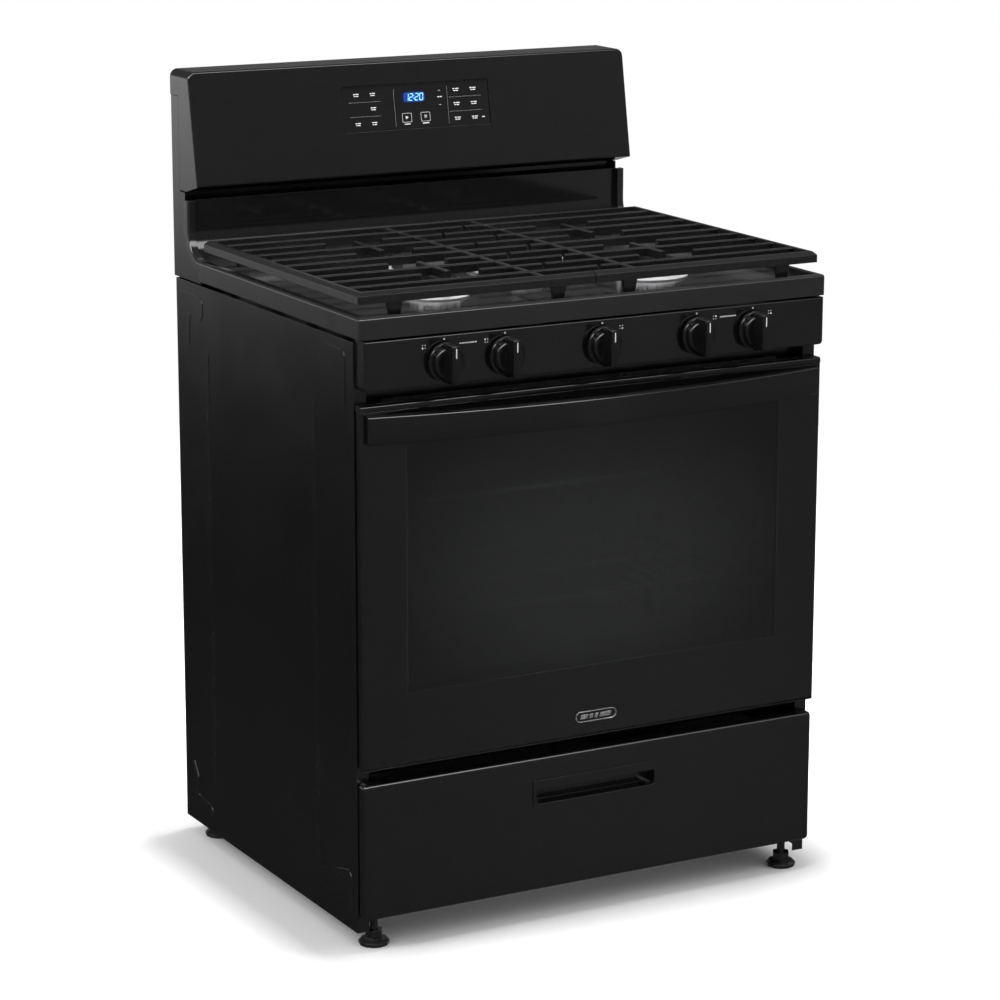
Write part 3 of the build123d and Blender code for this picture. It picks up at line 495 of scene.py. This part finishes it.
# Each finish's maker, its two colours, its range of roughness and anything else the maker takes
FINISHES = {
    "black_enamel": (enamel, BLACK, (0.0045, 0.0045, 0.0048), (0.09, 0.16)),
    "zinc_sheet": (metal, (0.42, 0.43, 0.44), (0.6, 0.61, 0.62), (0.28, 0.45)),
    "tube_steel": (metal, (0.32, 0.31, 0.3), (0.5, 0.49, 0.47), (0.3, 0.5)),
    "valve_alloy": (metal, (0.5, 0.5, 0.51), (0.72, 0.72, 0.73), (0.28, 0.42)),
    "brass_stem": (metal, (0.6, 0.43, 0.18), (0.8, 0.62, 0.3), (0.2, 0.35)),
    "black_cast_iron": (cast_iron, (0.0035, 0.0035, 0.0037), (0.006, 0.006, 0.0063), (0.26, 0.36)),
    "rack_chrome": (metal, (0.55, 0.55, 0.56), (0.75, 0.75, 0.76), (0.12, 0.22)),
    "white_ceramic": (plastic, (0.7, 0.68, 0.63), (0.84, 0.83, 0.79), (0.35, 0.5)),
    "sensor_steel": (metal, (0.45, 0.45, 0.45), (0.62, 0.62, 0.62), (0.25, 0.4)),
    "knob_plastic": (plastic, BLACK, (0.005, 0.005, 0.0053), (0.1, 0.18)),
    "trim_plastic": (plastic, (0.003, 0.003, 0.0032), (0.006, 0.006, 0.0063), (0.08, 0.15), 0.0009),
    "board": (plastic, (0.01, 0.06, 0.03), (0.02, 0.12, 0.05), (0.35, 0.5)),
    "black_plastic": (plastic, (0.004, 0.004, 0.004), (0.008, 0.008, 0.008), (0.16, 0.28)),
    # The cooktop's enamel: the same black enamel painted lighter, painted light standing in for
    # more light on the cooktop
    "top_enamel": (enamel, (0.009, 0.009, 0.0092), (0.013, 0.013, 0.0134), (0.09, 0.16)),
    "burner_alloy": (metal, (0.38, 0.38, 0.385), (0.5, 0.5, 0.51), (0.3, 0.42), 0.55),
    # Fibres take a scale and a strength of bump instead of a roughness
    "seal_braid": (fibre, (0.08, 0.08, 0.08), (0.16, 0.16, 0.16), 500.0, 0.6),
    "fibre_wrap": (fibre, (0.10, 0.09, 0.07), (0.22, 0.20, 0.16), 180.0, 0.8),
    "dark_glass": (black_glass,),
    "grey_enamel": (speckled_enamel,),
    "clear_glass": (clear_glass,),
}
finishes = {name: maker(name, *values) for name, (maker, *values) in FINISHES.items()}

# Nodes that look a little different from the rest of their slot: the cooktop's enamel is the black
# enamel painted lighter, as painted light, and the burner bases are a chalkier alloy
NODE_FINISH = {"cooktop": "top_enamel", "burner_bases": "burner_alloy"}
for part in frame["record"]["subparts"]:
    mesh = nodes[part["node"]].data
    mesh.materials.clear()
    mesh.materials.append(finishes[NODE_FINISH.get(part["node"], part["material_slot"])])

# ------------------------------------------------------------------ mesh helpers


def finish_mesh(name, bm, material, body, smooth=30.0):
    """A piece from a bmesh: shaded smooth up to an angle, painted, and riding on its body."""
    bmesh.ops.recalc_face_normals(bm, faces=bm.faces)
    mesh = bpy.data.meshes.new(name)
    bm.to_mesh(mesh)
    bm.free()
    mesh.materials.append(material)
    mesh.shade_smooth()
    mesh.set_sharp_from_angle(angle=math.radians(smooth))
    piece = link_object(bpy.data.objects.new(name, mesh))
    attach(piece, body)
    return piece


def add_prism(bm, outline, low, high, place):
    """A prism over a closed (u, v) outline, from low to high along w, put in place by a matrix."""
    bottom = [bm.verts.new(place @ Vector((u, v, low))) for u, v in outline]
    top = [bm.verts.new(place @ Vector((u, v, high))) for u, v in outline]
    bm.faces.new(list(reversed(bottom)))
    bm.faces.new(top)
    count = len(outline)
    for i in range(count):
        j = (i + 1) % count
        bm.faces.new([bottom[i], bottom[j], top[j], top[i]])


def add_band(bm, outer, inner, low, high, place):
    """A closed band between two outlines with as many points, from low to high along w."""
    rows = []
    for outline, w in ((outer, low), (outer, high), (inner, high), (inner, low)):
        rows.append([bm.verts.new(place @ Vector((u, v, w))) for u, v in outline])
    count = len(outer)
    for first in range(4):
        second = (first + 1) % 4
        for i in range(count):
            j = (i + 1) % count
            bm.faces.new([rows[first][i], rows[first][j], rows[second][j], rows[second][i]])


def rect(u0, u1, v0, v1):
    """The outline of a rectangle."""
    return [(u0, v0), (u1, v0), (u1, v1), (u0, v1)]


def rounded(u0, u1, v0, v1, radius, steps=5):
    """The outline of a rectangle with round corners."""
    points = []
    corners = ((u1 - radius, v0 + radius, -90), (u1 - radius, v1 - radius, 0),
               (u0 + radius, v1 - radius, 90), (u0 + radius, v0 + radius, 180))
    for u, v, start in corners:
        for step in range(steps + 1):
            angle = math.radians(start + 90 * step / steps)
            points.append((u + radius * math.cos(angle), v + radius * math.sin(angle)))
    return points


def disc(u, v, radius, steps):
    """The outline of a disc."""
    turn = 2 * math.pi / steps
    angles = [turn * i for i in range(steps)]
    return [(u + radius * math.cos(angle), v + radius * math.sin(angle)) for angle in angles]


def frame_at(origin, u, v):
    """The matrix that puts (u, v, w) coordinates at a point, w along u x v."""
    u = Vector(u).normalized()
    v = Vector(v).normalized()
    w = u.cross(v)
    m = Matrix.Identity(4)
    for row in range(3):
        m[row][0], m[row][1], m[row][2], m[row][3] = u[row], v[row], w[row], origin[row]
    return m


MM = 0.001
PRINT_SUNK = 0.2


def scaled(outline):
    """An outline in millimetres, turned into metres."""
    return [(u * MM, v * MM) for u, v in outline]


def printed(name, outlines, place, material, body, thick=0.12, bands=()):
    """Raised print, in millimetres: outlines as thin prisms, bands as thin closed lines."""
    bm = bmesh.new()
    for outline in outlines:
        add_prism(bm, scaled(outline), -PRINT_SUNK * MM, thick * MM, place)
    for outer, inner in bands:
        add_band(bm, scaled(outer), scaled(inner), -PRINT_SUNK * MM, thick * MM, place)
    return finish_mesh(name, bm, material, body)


def ink(name, colour):
    """Screen-printed ink with thin patches."""
    f = Finish(name)
    f.set(IOR=1.45)
    thin = f.ramp(f.noise(900.0, 3.0, 0.6), 0.0, 1.0, (0.35, 0.6))
    f.wire("Base Color", f.mix(thin, [0.7 * c for c in colour], colour))
    f.wire("Roughness", f.ramp(f.noise(300.0), 0.35, 0.5))
    f.wire("Normal", f.bump(f.noise(1500.0, 2.0), 0.1, 0.0001))
    return f.material


def lamp_ink(name, colour, strength, dim=0.6):
    """A lit display segment, a little uneven in brightness."""
    f = Finish(name)
    f.set(Roughness=0.4, Emission_Strength=strength)
    uneven = f.noise(400.0, 2.0, 0.5)
    f.wire("Base Color", f.mix(uneven, [0.2 * c for c in colour], [0.3 * c for c in colour]))
    f.wire("Emission Color", f.mix(uneven, [dim * c for c in colour], colour))
    return f.material


ink_white = ink("ink_white", (0.62, 0.62, 0.62))
ink_grey = ink("ink_grey", (0.26, 0.26, 0.27))

# ------------------------------------------------------------------ print on the control panel

# Places on the panel in millimetres: across from the middle, and up from the floor
OFF_DOT_HEIGHT = 876.3
SIGN_HEIGHT = 868.0
# Each burner sign's place, and which of its four burners is the large one
SIGNS = ((-283.5, 0), (-186.0, 2), (31.0, 1), (187.0, 3), (281.0, 1))
WORD_STARTS = (-228.0, 196.0)
WORD_LETTERS = 7
LETTER_PITCH = 4.0
panel_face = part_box("control_panel")[0].y
knob_names = ("front_left", "rear_left", "centre", "rear_right", "front_right")


def knob_middle(name):
    """The middle of a knob's box."""
    low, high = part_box("knob_" + name)
    return (low + high) / 2


def burner_sign(u, v, lit):
    """Four small burners in a square, the lit one larger."""
    marks = []
    for i, (du, dv) in enumerate(((-1, -1), (1, -1), (-1, 1), (1, 1))):
        radius = 1.35 if i == lit else 0.75
        marks.append(disc(u + 2.0 * du, v + 1.9 * dv, radius, 12))
    return marks


panel_place = frame_at((0, panel_face, 0), (1, 0, 0), (0, 0, 1))
marks = []
for name in knob_names:
    marks.append(disc(knob_middle(name).x / MM, OFF_DOT_HEIGHT, 1.5, 14))
for u, lit in SIGNS:
    marks += burner_sign(u, SIGN_HEIGHT, lit)
for word_start in WORD_STARTS:
    for letter in range(WORD_LETTERS):
        left = word_start + LETTER_PITCH * letter
        marks.append(rect(left, left + 2.9, SIGN_HEIGHT - 0.8, SIGN_HEIGHT + 0.9))
printed("panel_print", marks, panel_place, ink_white, "cabinet")

# ------------------------------------------------------------------ keypad and clock

# The console's face leans back by 29.5 mm over its height of 168 mm
CONSOLE_TILT = math.atan2(0.0295, 0.168)
KEYPAD_MIDDLE_DOWN = 69.5
KEYPAD_HALF_THICK = 0.0015
# Thickness of the print, in millimetres
KEY_PRINT = 0.08
RULE_PRINT = 0.06
pad_low, pad_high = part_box("keypad_panel")
pad_normal = Vector((0, -math.cos(CONSOLE_TILT), math.sin(CONSOLE_TILT)))
pad_up = Vector((0, math.sin(CONSOLE_TILT), math.cos(CONSOLE_TILT)))
pad_face = (pad_low + pad_high) / 2 + pad_normal * KEYPAD_HALF_THICK
pad_place = frame_at(pad_face, (1, 0, 0), pad_up)


def down(distance):
    """Height on the keypad of a point this far below the console's top edge."""
    return KEYPAD_MIDDLE_DOWN - distance


def word(u, v, width):
    """A two-row group of dashes that stands for a key's words."""
    rows = []
    for dv, share in ((1.5, 1.0), (-1.5, 0.8)):
        half = width * share / 2
        rows.append(rect(u - half, u - 0.15 * width, v + dv - 0.7, v + dv + 0.7))
        rows.append(rect(u - 0.05 * width, u + half, v + dv - 0.7, v + dv + 0.7))
    return rows


def key_line(u, v):
    """The rounded line round one of the two framed keys."""
    line = 0.5
    outline = []
    for inset in (0.0, line):
        half_u, half_v = 8.0 - inset, 7.0 - inset
        outline.append(rounded(u - half_u, u + half_u, v - half_v, v + half_v, 1.6 - inset))
    return outline


def add_keypad_print(name, outlines, ink_used, thick=KEY_PRINT, bands=()):
    """One piece of print on the keypad, riding on the cabinet."""
    printed(name, outlines, pad_place, ink_used, "cabinet", thick, bands)


# Rows of words, by how far below the console's top edge they are, and columns from the middle
UPPER_ROW, MIDDLE_ROW, LOWER_ROW = 48.5, 70.2, 92.7
ALL_ROWS = (UPPER_ROW, MIDDLE_ROW, LOWER_ROW)
KEY_COLUMN = 16.0
words = []
for u, rows in ((-100.0, (UPPER_ROW, LOWER_ROW)), (-72.0, ALL_ROWS)):
    for row in rows:
        words += word(u, down(row), 9.0)
for u in (71.6, 101.7):
    for row in ALL_ROWS:
        words += word(u, down(row), 10.5)
words += word(43.0, down(59.5), 8.0)[:2]
words.append(rect(114.0, 119.0, down(93.4), down(92.0)))
# An arrow up and an arrow down
for row, point in ((UPPER_ROW, 2.0), (70.0, -2.0)):
    v = down(row)
    words.append([(40.6, v - point / 2), (43.0, v + point / 2), (45.4, v - point / 2),
                  (43.0, v + point * 0.1)])
add_keypad_print("keypad_words", words, ink_white)
key_lines = [key_line(-KEY_COLUMN, down(87.0)), key_line(KEY_COLUMN, down(87.0))]
add_keypad_print("keypad_keys", [], ink_white, KEY_PRINT, key_lines)
v = down(86.4)
cross = []
for turn in (45, 135):
    c, q = math.cos(math.radians(turn)), math.sin(math.radians(turn))
    bar = rect(-3.0, 3.0, -0.4, 0.4)
    cross.append([(KEY_COLUMN + c * a - q * b, v + q * a + c * b) for a, b in bar])
start = [(-18.2, v + 2.6), (-13.2, v), (-18.2, v - 2.6)]
labels = [rect(u0, u1, down(97.4), down(96.0)) for u0, u1 in ((-21.0, -11.0), (10.5, 21.5))]
add_keypad_print("keypad_signs", cross + [start] + labels, ink_white)
rules = []
for u0, u1 in ((-113.0, -59.0), (58.0, 115.0)):
    for row in (59.5, 81.5):
        rules.append(rect(u0, u1, down(row) - 0.15, down(row) + 0.15))
for u0, u1 in ((-36.0, -35.7), (56.0, 56.3)):
    rules.append(rect(u0, u1, down(100.0), down(42.0)))
add_keypad_print("keypad_rules", rules, ink_grey, RULE_PRINT)

DIGIT_SEGMENTS = {"0": "abcdef", "1": "bc", "2": "abged"}
CLOCK_SLANT = 0.12
CLOCK_DIGITS = ((-17.6, "1"), (-10.2, "2"), (-0.6, "2"), (7.4, "0"))
DIGIT_WIDE = 6.3
DIGIT_TALL = 11.2


def slanted(outline, low):
    """An outline that leans to the right as it rises from low."""
    return [(u + CLOCK_SLANT * (v - low), v) for u, v in outline]


def digit(left, low, shown):
    """The lit bars of one slanted seven-segment digit."""
    line = 0.17 * DIGIT_WIDE
    gap = 0.4 * line
    mid = low + DIGIT_TALL / 2
    top = low + DIGIT_TALL
    right = left + DIGIT_WIDE
    spots = {
        "a": (left + line, right - line, top - line, top),
        "g": (left + line, right - line, mid - line / 2, mid + line / 2),
        "d": (left + line, right - line, low, low + line),
        "f": (left, left + line, mid + gap, top - gap),
        "b": (right - line, right, mid + gap, top - gap),
        "e": (left, left + line, low + gap, mid - gap),
        "c": (right - line, right, low + gap, mid - gap),
    }
    return [slanted(rect(*spots[key]), low) for key in DIGIT_SEGMENTS[shown]]


segments = []
clock_low = down(61.6)
for left, shown in CLOCK_DIGITS:
    segments += digit(left, clock_low, shown)
# The colon's two dots
for v in (clock_low + 3.2, clock_low + 7.4):
    shift = CLOCK_SLANT * (v - clock_low)
    segments.append(rect(-2.9 + shift, -1.7 + shift, v, v + 1.2))
clock_blue = lamp_ink("clock_blue", (0.22, 0.62, 1.0), 2.6)
clock_glow = lamp_ink("clock_glow", (0.0, 0.06, 0.55), 0.5, 0.3)
halo = [rounded(-19.5, 16.8, down(63.4), down(48.6), 4.0)]
add_keypad_print("clock_window", halo, clock_glow, 0.04)
add_keypad_print("clock_digits", segments, clock_blue, 0.10)

# ------------------------------------------------------------------ badge on the door

BADGE_HEIGHT = 0.298
glass_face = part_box("door_glass")[0].y
badge_place = frame_at((0, glass_face, BADGE_HEIGHT), (1, 0, 0), (0, 0, 1))
badge_metal = metal("badge_metal", (0.6, 0.6, 0.61), (0.82, 0.82, 0.83), (0.15, 0.28))
rim = (rounded(-34.0, 34.0, -8.0, 8.0, 7.9, 8), rounded(-32.8, 32.8, -6.8, 6.8, 6.7, 8))
bars = [[(u + 0.35 * v, v) for u, v in rect(left, left + wide, -3.2, 3.2)]
        for left, wide in ((-26.0, 12.0), (-10.5, 5.0), (-2.0, 5.0), (6.5, 18.0))]
printed("door_badge", bars, badge_place, badge_metal, "oven_door", 0.35, [rim])

# ------------------------------------------------------------------ knobs

KNOB_TURNS = 72
# The skirt's (radius, height) outline, from inside its bore, in millimetres
KNOB_OUTLINE = [
    (4.3, 20.0), (4.3, 0.0), (26.4, 0.0), (27.7, 0.5), (28.0, 1.6), (28.0, 4.2), (27.6, 5.3),
    (26.6, 6.0), (24.6, 6.1), (23.6, 5.3), (22.7, 5.0), (22.1, 5.8), (21.8, 9.0), (21.2, 10.8),
    (19.8, 11.9), (17.6, 12.2), (12.0, 11.3), (6.0, 10.9), (0.0, 10.8),
]
GRIP_HALF_WIDE = 7.0
GRIP_HALF_TALL = 27.5
GRIP_DEEP = 32.5
# How much the grip narrows at each height above the panel
GRIP_SECTIONS = (
    (0.0, 8.0), (0.0, 14.0), (0.7, 26.0), (1.0, GRIP_DEEP - 1.9), (1.5, GRIP_DEEP - 0.6),
    (2.5, GRIP_DEEP),
)
WEDGE_ANGLE = 128
# The wedge's outlines and their heights, pointing outwards along u
WEDGE_SECTIONS = (
    ([(20.5, -5.5), (27.6, -4.0), (27.6, 4.0), (20.5, 5.5)], 4.5),
    ([(20.5, -4.5), (27.2, -2.6), (27.2, 2.6), (20.5, 4.5)], 7.2),
    ([(21.0, -3.6), (24.0, -1.6), (24.0, 1.6), (21.0, 3.6)], 10.5),
)


def add_turned(bm, outline, place, steps):
    """A solid of revolution about w from a (radius, w) outline that ends in a point at radius 0."""
    rings = []
    for radius, w in outline:
        if radius == 0:
            rings.append([bm.verts.new(place @ Vector((0, 0, w * MM)))])
            continue
        ring = []
        for u, v in disc(0, 0, radius * MM, steps):
            ring.append(bm.verts.new(place @ Vector((u, v, w * MM))))
        rings.append(ring)
    for first, second in zip(rings, rings[1:]):
        for i in range(steps):
            j = (i + 1) % steps
            if len(second) == 1:
                bm.faces.new([first[i], first[j], second[0]])
            else:
                bm.faces.new([first[i], first[j], second[j], second[i]])
    bm.faces.new(rings[0])


def add_skin(bm, rows):
    """A closed skin over rows of points, each row joined to the next and the two ends capped."""
    count = len(rows[0])
    for first, second in zip(rows, rows[1:]):
        for i in range(count):
            j = (i + 1) % count
            bm.faces.new([first[i], first[j], second[j], second[i]])
    bm.faces.new(list(reversed(rows[0])))
    bm.faces.new(rows[-1])


def add_loft(bm, sections, place):
    """A closed solid through (outline, w) sections with as many points each, in millimetres."""
    rows = []
    for outline, w in sections:
        rows.append([bm.verts.new(place @ Vector((u * MM, v * MM, w * MM))) for u, v in outline])
    add_skin(bm, rows)


def grip_outline(shrink):
    """The grip's outline, made smaller all round."""
    wide = GRIP_HALF_WIDE - shrink
    tall = GRIP_HALF_TALL - shrink
    return rounded(-wide, wide, -tall, tall, 1.5, 3)


def make_knob(name):
    """A push-to-turn knob: dished skirt, stop wedge, and a tall grip bar with a printed line."""
    low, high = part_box("knob_" + name)
    middle = (low + high) / 2
    place = frame_at((middle.x, high.y, middle.z), (1, 0, 0), (0, 0, 1))
    body = "knob_body_" + name
    bm = bmesh.new()
    add_turned(bm, KNOB_OUTLINE, place, KNOB_TURNS)
    add_loft(bm, [(grip_outline(shrink), height) for shrink, height in GRIP_SECTIONS], place)
    add_loft(bm, WEDGE_SECTIONS, place @ Matrix.Rotation(math.radians(WEDGE_ANGLE), 4, "Z"))
    plastic_used = finishes["knob_plastic"]
    piece = finish_mesh("knob_shape_" + name, bm, plastic_used, body, 32.0)
    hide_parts("knob_" + name)
    front = place @ Matrix.Translation((0, 0, GRIP_DEEP * MM))
    line = rounded(-0.8, 0.8, 9.5, 23.5, 0.7, 3)
    printed("knob_line_" + name, [line], front, ink_white, body)


for name in knob_names:
    make_knob(name)

# ------------------------------------------------------------------ door handle

HANDLE_DEEP = 0.012
HANDLE_SEAT = 0.008
HANDLE_STATIONS = 97
HANDLE_NOSE = 0.0045
HANDLE_CHAMFER = 0.0008
NOSE_STEPS = 6


def make_handle():
    """The bowed handle: one smooth sweep, rounded in front, cut flat where it sits on the glass."""
    low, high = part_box("door_handle")
    half = high.x
    sagitta = (glass_face - HANDLE_SEAT) - low.y
    radius = (half ** 2 + sagitta ** 2) / (2 * sagitta)
    turns = [math.radians(90 * step / NOSE_STEPS) for step in range(NOSE_STEPS + 1)]
    bm = bmesh.new()
    rows = []
    for station in range(HANDLE_STATIONS):
        x = -half + 2 * half * station / (HANDLE_STATIONS - 1)
        front = low.y + radius - math.sqrt(radius ** 2 - x ** 2)
        back = min(front + HANDLE_DEEP, glass_face)
        nose_y = front + HANDLE_NOSE
        lower_z = low.z + HANDLE_NOSE
        upper_z = high.z - HANDLE_NOSE
        section = [(back, low.z + HANDLE_CHAMFER), (back - HANDLE_CHAMFER, low.z)]
        for turn in turns:
            section.append((nose_y - HANDLE_NOSE * math.sin(turn),
                            lower_z - HANDLE_NOSE * math.cos(turn)))
        for turn in turns:
            section.append((nose_y - HANDLE_NOSE * math.cos(turn),
                            upper_z + HANDLE_NOSE * math.sin(turn)))
        section += [(back - HANDLE_CHAMFER, high.z), (back, high.z - HANDLE_CHAMFER)]
        rows.append([bm.verts.new((x, y, z)) for y, z in section])
    add_skin(bm, rows)
    enamel_used = finishes["black_enamel"]
    piece = finish_mesh("handle_bar", bm, enamel_used, "oven_door", 50.0)
    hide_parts("door_handle")


make_handle()
